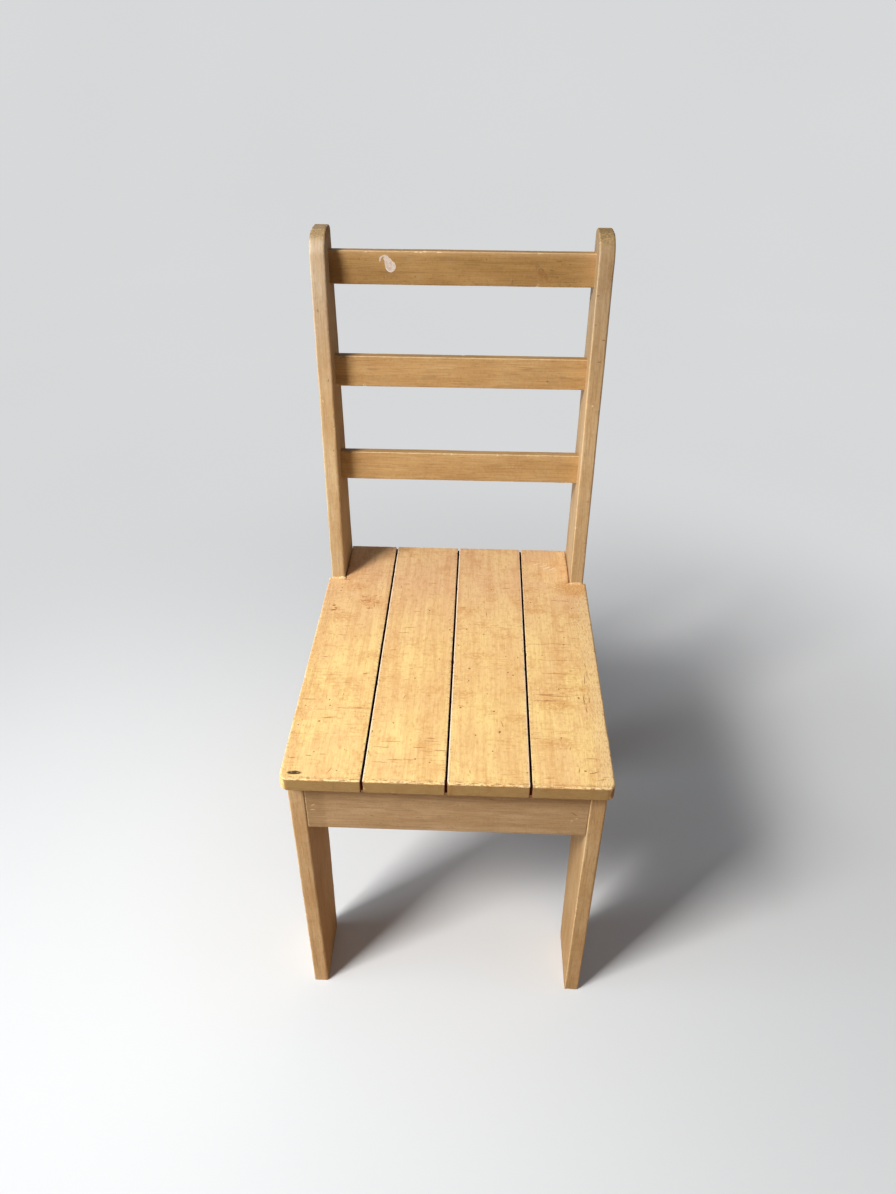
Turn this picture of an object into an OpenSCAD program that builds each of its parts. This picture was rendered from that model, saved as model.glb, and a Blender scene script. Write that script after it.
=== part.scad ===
// A plain wooden chair made of planed boards: four seat boards, two back posts that run down
// to the floor as rear legs, three back slats, two front legs and a frame of rails.
// It faces -Y and stands on Z = 0. Left and right are as seen from the front.

/* [Seat] */
// Width of the seat
seat_w = 400; // [340:5:480]
// Depth of the seat, from its front edge to its back edge
seat_d = 515; // [430:5:620]
// Height of the seat's top above the floor
seat_h = 450; // [380:5:540]
// Thickness of the seat boards
board_t = 20; // [16:0.5:25]
// Width of the open joints between the seat boards
board_gap = 2.5; // [1:0.5:5]
// Plan radius of the seat's two front corners
corner_r = 10; // [4:1:20]
// Rounding of the seat's outer upper edges
seat_edge_r = 3; // [1:0.5:6]
// Rounding of the upper edges along the open joints
joint_edge_r = 1; // [0.5:0.25:2]

/* [Back posts] */
// Height of the posts above the top slat
post_stub = 26; // [15:1:60]
// Thickness of the posts, across the chair
post_t = 21; // [17:0.5:28]
// Depth of the posts from the floor up to the seat
post_d = 93; // [75:1:120]
// Depth of the posts at their tops
post_top_d = 59; // [50:1:70]
// How far the posts' outer faces stand inside the seat's sides
post_inset = 4; // [1:0.5:10]
// Profile radius of the posts' top corners at the front
post_nose_r = 30; // [10:1:36]
// Profile radius of the posts' top corners at the back
post_heel_r = 10; // [3:1:12]
// Rounding of the posts' long edges
post_edge_r = 3; // [1:0.5:5]
// Clearance between the posts and the notches in the seat boards
notch_gap = 0.3; // [0.1:0.1:1]

/* [Back slats] */
// Height of a slat
slat_h = 43.5; // [30:0.5:60]
// Thickness of a slat
slat_t = 14.5; // [10:0.5:20]
// Distance from the posts' front faces back to the slats' front faces
slat_setback = 26.5; // [12:0.5:30]
// Open height between the seat and the lowest slat
lower_gap = 154.5; // [80:0.5:220]
// Open height between the lowest slat and the middle slat
middle_gap = 98.5; // [60:0.5:140]
// Open height between the middle slat and the top slat
upper_gap = 95.5; // [60:0.5:140]
// Depth of the housings that hold the slats' ends in the posts
housing_d = 5; // [3:0.5:9]
// Rounding of the slats' long edges
slat_edge_r = 2; // [1:0.5:4]

/* [Front legs] */
// Thickness of the front legs, across the chair
leg_t = 20.5; // [17:0.5:28]
// Depth of the front legs at the seat
leg_top_d = 125.5; // [100:0.5:150]
// Depth of the front legs at the floor
leg_foot_d = 95; // [60:1:98]
// How far the seat overhangs the front legs at the front
seat_overhang = 16; // [8:1:30]
// Rounding of the front legs' long edges
leg_edge_r = 2.5; // [1:0.5:5]

/* [Rails and cleats] */
// Height of the apron and of the rails
rail_h = 85.5; // [70:0.5:110]
// Thickness of the apron and of the rails
rail_t = 20; // [18:0.5:25]
// How far the apron lies behind the legs' front faces, and the rear rail before the posts' backs
rail_inset = 1; // [0.5:0.5:5]
// Rounding of the apron's and the rails' lower edges
rail_edge_r = 1.5; // [0.5:0.5:3]
// Width and height of the cleats under the seat boards
cleat_w = 20; // [18:0.5:24]

/* [Fixings] */
// Shank radius of the screws
screw_r = 1.9; // [1.5:0.1:2.5]
// Head radius of the screws
screw_head_r = 3.8; // [3:0.1:4.5]
// Length of the screws that hold the seat boards
seat_screw_l = 32; // [28:1:34]
// Length of the screws that hold the legs and posts to the side rails
frame_screw_l = 33; // [28:1:34]
// Length of the screws that hold the slats
slat_screw_l = 50; // [40:1:60]
// Radial clearance of screws and nails in their holes
screw_fit = 0.05; // [0.02:0.01:0.1]
// Radius of the filler plugs over the sunk screw heads
plug_r = 5; // [4.6:0.1:6]
// Thickness of the filler plugs
plug_t = 3; // [2:0.5:4]
// Shank radius of the nails
nail_r = 1.25; // [1:0.05:1.6]
// Head radius of the nails
nail_head_r = 1.9; // [1.7:0.1:2.4]
// Length of the nails
nail_l = 50; // [40:1:60]
// How far the nail heads are punched below the surface
nail_sunk = 1; // [0.5:0.5:2]

/* [Hidden] */
$fn = 64;

LEFT = -1;
RIGHT = 1;
seat_paint = "#e0b468";
frame_paint = "#c79f63";
bare_wood = "#c9a97c";
filler = "#d8c7a0";
steel = "#8f9092";

front_y = -seat_d / 2;
back_y = seat_d / 2;
board_z = seat_h - board_t;                        // underside of the seat boards
board_pitch = (seat_w + board_gap) / 4;            // from one board's side to the next one's
board_w = board_pitch - board_gap;

low_slat_z = seat_h + lower_gap;
middle_slat_z = low_slat_z + slat_h + middle_gap;
top_slat_z = middle_slat_z + slat_h + upper_gap;
slat_z = [low_slat_z, middle_slat_z, top_slat_z];
back_h = top_slat_z + slat_h + post_stub;          // height of the posts' tops above the floor

inner_x = seat_w / 2 - post_inset - post_t;        // inner faces of the posts and front legs
post_y = back_y - post_d;                          // posts' front faces, up to the seat
lean_run = post_d - post_top_d;
lean_a = atan(lean_run / (back_h - seat_h));       // slope of the posts' front faces

leg_y = front_y + seat_overhang;
leg_taper_a = atan((leg_top_d - leg_foot_d) / board_z);

rail_z = board_z - rail_h;
apron_y = leg_y + rail_inset;
apron_back_y = apron_y + rail_t;
rear_rail_y = back_y - rail_inset - rail_t;        // front face of the rear rail
rail_in_x = inner_x - rail_t;                      // inner faces of the side rails
cleat_z = board_z - cleat_w;

// screws stand at these shares of the rails' height, three to each leg and post
screw_rows = [0.2, 0.5, 0.8];
leg_screw_y = (apron_back_y + leg_y + leg_foot_d) / 2;
post_screw_y = (post_y + rear_rail_y) / 2;
nail_rows = [0.36, 0.74];
seat_screw_pair = 30;                              // distance between the two screws in a board's end
over = 1;                                          // how far a cutter runs past the wood

// the posts' front face at a height above the seat
function post_front(z) = post_y + (z - seat_h) * tan(lean_a);

// ---- cutters and placements -------------------------------------------------

// Rounds one long square edge: the edge runs up Z, and the wood lies towards +X and +Y.
module arris(length, r) {
    translate([0, 0, -over]) difference() {
        translate([-over, -over, 0]) cube([r + over, r + over, length + 2 * over]);
        translate([r, r, -over]) cylinder(r = r, h = length + 4 * over);
    }
}

// The same along X, for the front edge of a top face: the wood lies towards +Y and -Z.
module top_arris(length, r) { rotate([0, 90, 0]) arris(length, r); }

// Rounds the two long edges of a bar's underside. The bar runs along X and is depth deep.
module under_arrises(length, depth, r) {
    for (y = [0, 1]) translate([0, y * depth, 0]) mirror([0, y, 0]) mirror([0, 0, 1])
        top_arris(length, r);
}

// Takes the corner p off a flat outline whose edges leave p at the angles a and b, b being
// the larger, and leaves a round of radius r.
module corner_off(p, a, b, r) {
    half = (b - a) / 2;
    reach = r / tan(half);
    mid = (a + b) / 2;
    centre = p + r / sin(half) * [cos(mid), sin(mid)];
    on_a = p + reach * [cos(a), sin(a)];
    on_b = p + reach * [cos(b), sin(b)];
    difference() {
        polygon([
            p - 2 * over * [cos(mid), sin(mid)],
            on_a + over * [cos(a - 90), sin(a - 90)], on_a, centre, on_b,
            on_b + over * [cos(b + 90), sin(b + 90)]
        ]);
        translate(centre) circle(r = r);
    }
}

// Extrudes an outline drawn in Y and Z across the chair, from x to x + t.
module across(x, t) {
    translate([x, 0, 0]) rotate([90, 0, 90]) linear_extrude(t) children();
}

// Mirrors what is drawn for the right side to the given side.
module to_side(side) {
    if (side == LEFT) mirror([1, 0, 0]) children();
    else children();
}

// The leaning frame of a slat: its front lower edge runs along X through the origin.
module at_slat(i) {
    translate([0, post_front(slat_z[i]) + slat_setback, slat_z[i]]) rotate([-lean_a, 0, 0])
        children();
}

// Screws into the seat boards stand under both ends of each board, where the cleats lie.
module at_seat_screws(boards) {
    for (i = boards) {
        low = max(-rail_in_x, -seat_w / 2 + i * board_pitch);
        high = min(rail_in_x, -seat_w / 2 + i * board_pitch + board_w);
        for (side = [-1, 1], y = [apron_back_y + cleat_w / 2, rear_rail_y - cleat_w / 2])
            translate([(low + high + side * seat_screw_pair) / 2, y, cleat_z]) children();
    }
}

// Screws through the right front leg or post into the side rail, pointing inwards.
module at_frame_screws(outer_x, y) {
    for (row = screw_rows)
        translate([outer_x, y, rail_z + row * rail_h]) rotate([0, -90, 0]) children();
}

// Screws through the right post into the slats' ends, pointing inwards.
module at_slat_screws() {
    for (i = [0:2]) at_slat(i)
        translate([inner_x + post_t, slat_t / 2, slat_h / 2]) rotate([0, -90, 0]) children();
}

// Nails through the ends of the apron or rear rail into the side rails' ends.
module at_nails(y, turn) {
    for (side = [-1, 1], row = nail_rows)
        translate([side * (inner_x - rail_t / 2), y, rail_z + row * rail_h])
            rotate([-90 * turn, 0, 0]) children();
}

// ---- fixings ----------------------------------------------------------------

module shank(length, r, tip) {
    cylinder(r = r, h = length - tip);
    translate([0, 0, length - tip]) cylinder(r1 = r, r2 = r / 4, h = tip);
}

// A countersunk screw with a cross recess. Its head's face is at Z = 0 and it points up Z.
module screw(length) {
    recess_w = screw_head_r / 4;
    difference() {
        union() {
            cylinder(r1 = screw_head_r, r2 = screw_r, h = screw_head_r - screw_r);
            shank(length, screw_r, 2 * screw_r);
        }
        for (turn = [0, 90]) rotate(turn)
            translate([-screw_head_r / 2, -recess_w / 2, -over])
                cube([screw_head_r, recess_w, recess_w + over]);
    }
}

module screw_hole(length) {
    head_r = screw_head_r + screw_fit;
    hole_r = screw_r + screw_fit;
    translate([0, 0, -over]) cylinder(r = head_r, h = over);
    cylinder(r1 = head_r, r2 = hole_r, h = head_r - hole_r);
    shank(length + screw_fit, hole_r, 2 * screw_r);
}

module sunk_screw(length) { translate([0, 0, plug_t]) screw(length); }

module sunk_screw_hole(length) {
    translate([0, 0, -over]) cylinder(r = plug_r, h = plug_t + over);
    translate([0, 0, plug_t]) screw_hole(length);
}

module plug() { cylinder(r = plug_r, h = plug_t); }

module nail() {
    translate([0, 0, nail_sunk]) {
        cylinder(r = nail_head_r, h = nail_r);
        shank(nail_l, nail_r, 2 * nail_r);
    }
}

module nail_hole() {
    translate([0, 0, -over]) cylinder(r = nail_head_r + screw_fit, h = over + nail_sunk + nail_r);
    translate([0, 0, nail_sunk]) shank(nail_l + screw_fit, nail_r + screw_fit, 2 * nail_r);
}

// ---- seat -------------------------------------------------------------------

// One seat board, numbered from the left. The outer ones are notched round the posts.
module seat_board(i) {
    x = -seat_w / 2 + i * board_pitch;
    outer_side = i == 0 ? LEFT : i == 3 ? RIGHT : 0;
    left_r = i == 0 ? seat_edge_r : joint_edge_r;
    right_r = i == 3 ? seat_edge_r : joint_edge_r;
    color(seat_paint) difference() {
        translate([x, front_y, board_z]) cube([board_w, seat_d, board_t]);
        translate([x, front_y, seat_h]) top_arris(board_w, seat_edge_r);
        translate([x, front_y, seat_h]) rotate([-90, 0, 0]) arris(seat_d, left_r);
        translate([x + board_w, front_y, seat_h]) rotate([-90, 0, 0]) rotate(90)
            arris(seat_d, right_r);
        if (outer_side != 0) to_side(outer_side) {
            translate([inner_x - notch_gap, post_y - notch_gap, board_z - over])
                cube([seat_w, post_d + notch_gap + over, board_t + 2 * over]);
            translate([seat_w / 2, front_y, board_z]) rotate(90) arris(board_t, corner_r);
        }
        at_seat_screws([i]) screw_hole(seat_screw_l);
    }
}

module seat_board_left() { seat_board(0); }
module seat_board_mid_left() { seat_board(1); }
module seat_board_mid_right() { seat_board(2); }
module seat_board_right() { seat_board(3); }

// ---- back -------------------------------------------------------------------

// A slat as it is cut, long enough to fill both housings.
module slat_blank() {
    length = 2 * (inner_x + housing_d);
    translate([-length / 2, 0, 0]) difference() {
        cube([length, slat_t, slat_h]);
        under_arrises(length, slat_t, slat_edge_r);
        translate([0, 0, slat_h]) mirror([0, 0, 1]) under_arrises(length, slat_t, slat_edge_r);
    }
}

module back_slat(i) {
    color(frame_paint) difference() {
        at_slat(i) slat_blank();
        for (side = [LEFT, RIGHT]) to_side(side) at_slat_screws() sunk_screw_hole(slat_screw_l);
    }
}

module back_slat_low() { back_slat(0); }
module back_slat_middle() { back_slat(1); }
module back_slat_top() { back_slat(2); }

// The post's side outline, in Y and Z: straight at the back, sloping in front above the seat.
module post_outline() {
    top_y = back_y - post_top_d;
    difference() {
        polygon([[post_y, 0], [back_y, 0], [back_y, back_h], [top_y, back_h], [post_y, seat_h]]);
        corner_off([top_y, back_h], -90 - lean_a, 0, post_nose_r);
        corner_off([back_y, back_h], 180, 270, post_heel_r);
    }
}

module back_post(side) {
    color(frame_paint) to_side(side) difference() {
        across(inner_x, post_t) post_outline();
        for (x = [0, 1]) translate([inner_x + x * post_t, 0, 0]) mirror([x, 0, 0]) {
            translate([0, back_y, 0]) mirror([0, 1, 0]) arris(back_h, post_edge_r);
            translate([0, post_y, 0]) arris(board_z - over, post_edge_r);
            translate([0, post_y, seat_h]) rotate([-lean_a, 0, 0])
                translate([0, 0, over]) arris(back_h - seat_h, post_edge_r);
        }
        for (i = [0:2]) at_slat(i) slat_blank();
        at_slat_screws() sunk_screw_hole(slat_screw_l);
        at_frame_screws(inner_x + post_t, post_screw_y) sunk_screw_hole(frame_screw_l);
    }
}

module back_post_left() { back_post(LEFT); }
module back_post_right() { back_post(RIGHT); }

// ---- front legs and rails ---------------------------------------------------

module front_leg(side) {
    color(frame_paint) to_side(side) difference() {
        across(inner_x, leg_t) polygon([
            [leg_y, 0], [leg_y + leg_foot_d, 0], [leg_y + leg_top_d, board_z], [leg_y, board_z]
        ]);
        for (x = [0, 1]) translate([inner_x + x * leg_t, 0, 0]) mirror([x, 0, 0]) {
            translate([0, leg_y, 0]) arris(board_z, leg_edge_r);
            translate([0, leg_y + leg_foot_d, 0]) rotate([-leg_taper_a, 0, 0]) mirror([0, 1, 0])
                arris(board_z / cos(leg_taper_a), leg_edge_r);
        }
        at_frame_screws(inner_x + leg_t, leg_screw_y) sunk_screw_hole(frame_screw_l);
    }
}

module front_leg_left() { front_leg(LEFT); }
module front_leg_right() { front_leg(RIGHT); }

// A rail across the chair between the legs or posts, with its front face at y.
module cross_rail(y) {
    translate([-inner_x, y, rail_z]) difference() {
        cube([2 * inner_x, rail_t, rail_h]);
        under_arrises(2 * inner_x, rail_t, rail_edge_r);
    }
}

module front_apron() {
    color(frame_paint) difference() {
        cross_rail(apron_y);
        at_nails(apron_y, 1) nail_hole();
    }
}

module rear_rail() {
    color(frame_paint) difference() {
        cross_rail(rear_rail_y);
        at_nails(rear_rail_y + rail_t, -1) nail_hole();
    }
}

module side_rail(side) {
    color(frame_paint) difference() {
        to_side(side) translate([rail_in_x, apron_back_y, rail_z]) difference() {
            cube([rail_t, rear_rail_y - apron_back_y, rail_h]);
            for (x = [0, 1]) translate([x * rail_t, 0, 0]) mirror([x, 0, 0])
                rotate([-90, 0, 0]) mirror([0, 1, 0])
                    arris(rear_rail_y - apron_back_y, rail_edge_r);
        }
        to_side(side) {
            at_frame_screws(inner_x + leg_t, leg_screw_y) sunk_screw_hole(frame_screw_l);
            at_frame_screws(inner_x + post_t, post_screw_y) sunk_screw_hole(frame_screw_l);
        }
        at_nails(apron_y, 1) nail_hole();
        at_nails(rear_rail_y + rail_t, -1) nail_hole();
    }
}

module side_rail_left() { side_rail(LEFT); }
module side_rail_right() { side_rail(RIGHT); }

// A strip that the seat boards are screwed to from below, with its front face at y.
module cleat(y) {
    color(bare_wood) difference() {
        translate([-rail_in_x, y, cleat_z]) cube([2 * rail_in_x, cleat_w, cleat_w]);
        at_seat_screws([0:3]) screw_hole(seat_screw_l);
    }
}

module front_cleat() { cleat(apron_back_y); }
module rear_cleat() { cleat(rear_rail_y - cleat_w); }

// ---- groups of fixings ------------------------------------------------------

module seat_screws() {
    color(steel) at_seat_screws([0:3]) screw(seat_screw_l);
}

module leg_screws() {
    color(steel) for (side = [LEFT, RIGHT]) to_side(side)
        at_frame_screws(inner_x + leg_t, leg_screw_y) sunk_screw(frame_screw_l);
}

module post_screws() {
    color(steel) for (side = [LEFT, RIGHT]) to_side(side)
        at_frame_screws(inner_x + post_t, post_screw_y) sunk_screw(frame_screw_l);
}

module slat_screws() {
    color(steel) for (side = [LEFT, RIGHT]) to_side(side) at_slat_screws() sunk_screw(slat_screw_l);
}

module screw_plugs() {
    color(filler) for (side = [LEFT, RIGHT]) to_side(side) {
        at_frame_screws(inner_x + leg_t, leg_screw_y) plug();
        at_frame_screws(inner_x + post_t, post_screw_y) plug();
        at_slat_screws() plug();
    }
}

module apron_nails() { color(steel) at_nails(apron_y, 1) nail(); }
module rear_rail_nails() { color(steel) at_nails(rear_rail_y + rail_t, -1) nail(); }

seat_board_left();
seat_board_mid_left();
seat_board_mid_right();
seat_board_right();
back_post_left();
back_post_right();
back_slat_low();
back_slat_middle();
back_slat_top();
front_leg_left();
front_leg_right();
front_apron();
rear_rail();
side_rail_left();
side_rail_right();
front_cleat();
rear_cleat();
seat_screws();
leg_screws();
post_screws();
slat_screws();
screw_plugs();
apron_nails();
rear_rail_nails();
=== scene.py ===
import math
import random

import bpy
import numpy as np
from mathutils import Matrix, Vector


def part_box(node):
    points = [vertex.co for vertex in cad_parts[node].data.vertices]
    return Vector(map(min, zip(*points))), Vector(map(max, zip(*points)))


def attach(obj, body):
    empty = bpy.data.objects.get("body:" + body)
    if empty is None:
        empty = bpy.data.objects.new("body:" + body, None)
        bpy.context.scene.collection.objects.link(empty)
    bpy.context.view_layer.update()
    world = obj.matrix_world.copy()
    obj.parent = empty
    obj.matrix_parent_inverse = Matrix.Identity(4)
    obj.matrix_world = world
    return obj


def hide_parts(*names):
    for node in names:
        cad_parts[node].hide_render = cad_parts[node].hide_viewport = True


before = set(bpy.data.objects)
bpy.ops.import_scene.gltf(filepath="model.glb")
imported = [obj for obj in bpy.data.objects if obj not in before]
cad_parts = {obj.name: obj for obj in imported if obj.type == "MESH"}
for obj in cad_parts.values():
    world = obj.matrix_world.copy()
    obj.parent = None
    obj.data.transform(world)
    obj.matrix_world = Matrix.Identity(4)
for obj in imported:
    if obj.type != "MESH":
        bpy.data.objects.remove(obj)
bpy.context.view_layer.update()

MM = 0.001
LEFT, RIGHT = -1, 1

# ---- sizes of the pieces that the boxes of the frame don't give, in mm ---------------------

POST_TOP_DEPTH = 59.0
POST_NOSE, POST_HEEL = 30.0, 10.0
LEG_FOOT_DEPTH = 95.0
NOTCH_SIDE = 0.3
SLAT_SETBACK = 26.5
SLAT_THICK, SLAT_HEIGHT = 14.5, 43.5
PLUG_RADIUS = 5.0
SCREW_ROWS = (0.2, 0.5, 0.8)

# ---- places taken from the frame, in mm ------------------------------------------------------

SEAT_BOARDS = ("seat_board_left", "seat_board_mid_left", "seat_board_mid_right", "seat_board_right")
SLATS = ("back_slat_low", "back_slat_middle", "back_slat_top")
TOP_SLAT = SLATS[-1]


def box_mm(node):
    """Lowest and highest corner of a CAD node, in mm."""
    low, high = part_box(node)
    return np.array(low) / MM, np.array(high) / MM


SEAT_LOW, SEAT_HIGH = box_mm(SEAT_BOARDS[0])[0], box_mm(SEAT_BOARDS[-1])[1]
FRONT, UNDERSIDE, SEAT_HEIGHT = SEAT_LOW[1], SEAT_LOW[2], SEAT_HIGH[2]
JOINTS = [
    (box_mm(node)[1][0] + box_mm(after)[0][0]) / 2
    for node, after in zip(SEAT_BOARDS, SEAT_BOARDS[1:])
]
POST_LOW, POST_HIGH = box_mm("back_post_right")
INNER, POST_FRONT = POST_LOW[0], POST_LOW[1]
LEAN = math.atan((POST_HIGH[1] - POST_FRONT - POST_TOP_DEPTH) / (POST_HIGH[2] - SEAT_HEIGHT))


def post_front(height):
    """The posts' front face at a height above the seat."""
    return POST_FRONT + (height - SEAT_HEIGHT) * math.tan(LEAN)


def between(low, high, share):
    """The value at a share of the way from low to high."""
    return low + share * (high - low)


# ---- noise for the shapes --------------------------------------------------------------------

LATTICE = 32
SEED_SHIFT = 7.3


def bumps(points, wavelength, seed):
    """Smooth noise from -1 to 1 at points (n, 3), in mm, with bumps about a wavelength wide."""
    table = np.random.default_rng(seed).uniform(-1, 1, (LATTICE,) * 3)
    at = np.asarray(points) / np.asarray(wavelength) + SEED_SHIFT * seed
    cell = np.floor(at).astype(int)
    part = at - cell
    part = part * part * (3 - 2 * part)
    total = np.zeros(len(at))
    for corner in np.ndindex(2, 2, 2):
        weight = np.prod(np.where(corner, part, 1 - part), axis=1)
        i, j, k = ((cell + corner) % LATTICE).T
        total += weight * table[i, j, k]
    return total


# ---- planed wood: how far faces wave and ripple, and lie inside the box, in mm ----------------

WAVE, RIPPLE, INSIDE = 0.16, 0.04, 0.12


def lines(length, low, high, fine, coarse, extra=()):
    """Places along a side: fine steps within low and high of its two ends, coarse ones between."""
    start = np.linspace(0, low, round(low / fine) + 1)
    end = length - np.linspace(high, 0, round(high / fine) + 1)
    middle = np.linspace(low, length - high, max(2, round((length - low - high) / coarse) + 1))
    return np.unique(np.round(np.concatenate([start, middle, end, extra]), 4))


def shell(a, b, t):
    """The surface of a box with grid lines at a, b and t: points (n, 3) and quads (m, 4)."""
    counts = (len(a), len(b), len(t))
    i, j, k = np.meshgrid(*map(np.arange, counts), indexing="ij")
    skin = (i % (counts[0] - 1) == 0) | (j % (counts[1] - 1) == 0) | (k % (counts[2] - 1) == 0)
    index = np.full(counts, -1)
    index[skin] = np.arange(skin.sum())
    points = np.stack([a[i[skin]], b[j[skin]], t[k[skin]]], axis=1)
    quads = []
    for axis in range(3):
        for end in (0, -1):
            g = np.take(index, end, axis=axis)
            q = np.stack([g[:-1, :-1], g[1:, :-1], g[1:, 1:], g[:-1, 1:]], axis=-1).reshape(-1, 4)
            quads.append(q[:, ::-1] if (end == 0) == (axis != 1) else q)
    return points, np.concatenate(quads)


def ease(value, low, high):
    """Smooth step of value from 0 at low to 1 at high."""
    s = np.clip((value - low) / (high - low), 0, 1)
    return s * s * (3 - 2 * s)


def normals_of(points, quads):
    """Vertex normals, each the mean of its quads' normals by area."""
    corners = points[quads]
    face = np.cross(corners[:, 2] - corners[:, 0], corners[:, 3] - corners[:, 1])
    total = np.zeros_like(points)
    for c in range(4):
        np.add.at(total, quads[:, c], face)
    return total / np.maximum(np.linalg.norm(total, axis=1, keepdims=True), 1e-9)


def rounded(points, size, corners, edges, under, seed):
    """Rounds a box: corners are the four radii of its outline in the a-b plane, from (0, 0) round
    to (0, b), and edges the radii of the outline's edges at a = 0, a = A, b = 0 and b = B, which
    under multiplies on the face at t = 0. Returns the points and how far each is from an arris."""
    a, b, t = points.T
    near_a = np.minimum(a, size[0] - a)
    near_b = np.minimum(b, size[1] - b)
    near_t = np.minimum(t, size[2] - t)
    high_a = a > size[0] / 2
    high_b = b > size[1] / 2
    corner = np.asarray(corners)[np.where(high_b, 3 - high_a, high_a).astype(int)]
    by_a = near_a < near_b
    edge = np.where(
        by_a, np.where(high_a, edges[1], edges[0]), np.where(high_b, edges[3], edges[2])
    )
    edge = edge * np.where(t < size[2] / 2, under, 1)
    edge = edge * (1 + 0.22 * bumps(points, 23, seed) + 0.12 * bumps(points, 7, seed + 1))
    edge = np.minimum(edge, corner + 0.5 * np.maximum(near_a, near_b))
    edge = np.minimum(edge, np.where(np.maximum(near_a, near_b) < corner, corner, np.inf))
    depth = np.minimum(near_a, near_b)
    in_s = np.clip(edge - depth, 0, None)
    in_t = np.clip(edge - near_t, 0, None)
    both = (in_s > 0) & (in_t > 0)
    reach = np.where(both, np.hypot(in_s, in_t), 1)
    new_depth = np.where(both, edge - edge * in_s / reach, depth)
    new_t = np.where(both, edge - edge * in_t / reach, near_t)
    arris = np.maximum(depth, near_t)

    u, v = corner - near_a, corner - near_b
    inside = (u > 0) & (v > 0)
    reach = np.maximum(corner - new_depth, 0)
    turn = math.pi / 4 * np.minimum(u, v) / np.maximum(np.maximum(u, v), 1e-9)
    long, short = reach * np.cos(turn), reach * np.sin(turn)
    new_a = np.where(inside, corner - np.where(u > v, long, short), near_a)
    new_b = np.where(inside, corner - np.where(u > v, short, long), near_b)
    new_a = np.where(~inside & by_a, new_depth, new_a)
    new_b = np.where(~inside & ~by_a, new_depth, new_b)
    sharp = (depth <= 0) & (corner < 5)
    arris = np.where(sharp, np.minimum(arris, np.maximum(near_a, near_b)), arris)
    moved = np.stack([
        np.where(high_a, size[0] - new_a, new_a),
        np.where(high_b, size[1] - new_b, new_b),
        np.where(t > size[2] / 2, size[2] - new_t, new_t),
    ], axis=1)
    return moved, arris


def stretched(value, size, low, high, keep):
    """Moves a side's ends from 0 and size to low and high, keeping distances within keep of them."""
    share = np.clip((value - keep) / (size - 2 * keep), 0, 1)
    middle = low + keep + share * (high - low - 2 * keep)
    return np.where(
        value < keep, low + value, np.where(value > size - keep, high - size + value, middle)
    )


def volume_of(points, quads):
    """Six times the volume inside quads, negative where they face inwards."""
    a, b, c, d = np.moveaxis(points[quads], 1, 0)
    return np.einsum("ij,ij->", a, np.cross(b, c)) + np.einsum("ij,ij->", a, np.cross(c, d))


def piece_of(name, points, quads, finish, slot, replaces=(), layers=None):
    """Makes a mesh piece from points in mm, with its vertex layers and finish. slot is not used."""
    if volume_of(points, quads) < 0:
        quads = quads[:, ::-1]
    mesh = bpy.data.meshes.new(name)
    mesh.vertices.add(len(points))
    mesh.vertices.foreach_set("co", (points * MM).astype(np.float32).ravel())
    mesh.loops.add(quads.size)
    mesh.loops.foreach_set("vertex_index", quads.astype(np.int32).ravel())
    mesh.polygons.add(len(quads))
    mesh.polygons.foreach_set("loop_start", np.arange(0, quads.size, 4, dtype=np.int32))
    mesh.polygons.foreach_set("use_smooth", np.full(len(quads), True))
    mesh.update(calc_edges=True)
    mesh.validate()
    for layer, values in (layers or {}).items():
        kind = "FLOAT" if values.ndim == 1 else "FLOAT_VECTOR"
        attribute = mesh.attributes.new(layer, kind, "POINT")
        key = "value" if values.ndim == 1 else "vector"
        attribute.data.foreach_set(key, values.astype(np.float32).ravel())
    mesh.materials.append(finish)
    piece = bpy.data.objects.new(name, mesh)
    bpy.context.scene.collection.objects.link(piece)
    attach(piece, "root")
    if replaces:
        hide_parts(*replaces)
    return piece


def plank(name, node, size, grid, corners, edges, place, finish, slot,
          under=1.0, seed=0, nicks=24, grain_axis=1):
    """One planed board with nicks in its arrises. grid holds the lines along a, b and t, and
    place takes points from the box to the chair."""
    points, quads = shell(*grid)
    flat = points.copy()
    points, arris = rounded(points, size, corners, edges, under, seed)
    points = place(points)
    normals = normals_of(points, quads)
    if volume_of(points, quads) < 0:
        normals = -normals
    points = points + normals * (
        WAVE * bumps(points, 70, seed + 2) + RIPPLE * bumps(points, 14, seed + 3) - INSIDE
    )[:, None]
    chip = np.zeros(len(points))
    rng = np.random.default_rng(seed + 50)
    on_edge = np.flatnonzero(arris < 0.6)
    chips = [
        (*points[rng.choice(on_edge)], rng.uniform(1.2, 3.6), rng.uniform(0.15, 0.6))
        for _ in range(nicks)
    ]
    for x, y, z, radius, depth in chips:
        away = np.linalg.norm(points - (x, y, z), axis=1) / radius
        hit = np.flatnonzero(away < 1.5)
        if not len(hit):
            continue
        rough = away[hit] + 0.35 * bumps(points[hit], radius * 0.7, seed + 4)
        bite = 1 - ease(rough, 0.45, 1.0)
        points[hit] -= normals[hit] * (depth * bite)[:, None]
        chip[hit] = np.maximum(chip[hit], bite)
    along = flat if grain_axis == 1 else flat[:, [1, 0, 2]]
    offset = rng.uniform(-400, 400, 3) + (0, 3000 * rng.random(), 0)
    return piece_of(name, points, quads, finish, slot, (node,),
                    {"grain": along + offset, "arris": arris, "chip": chip})


# ---- shader maths ----------------------------------------------------------------------------


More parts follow.
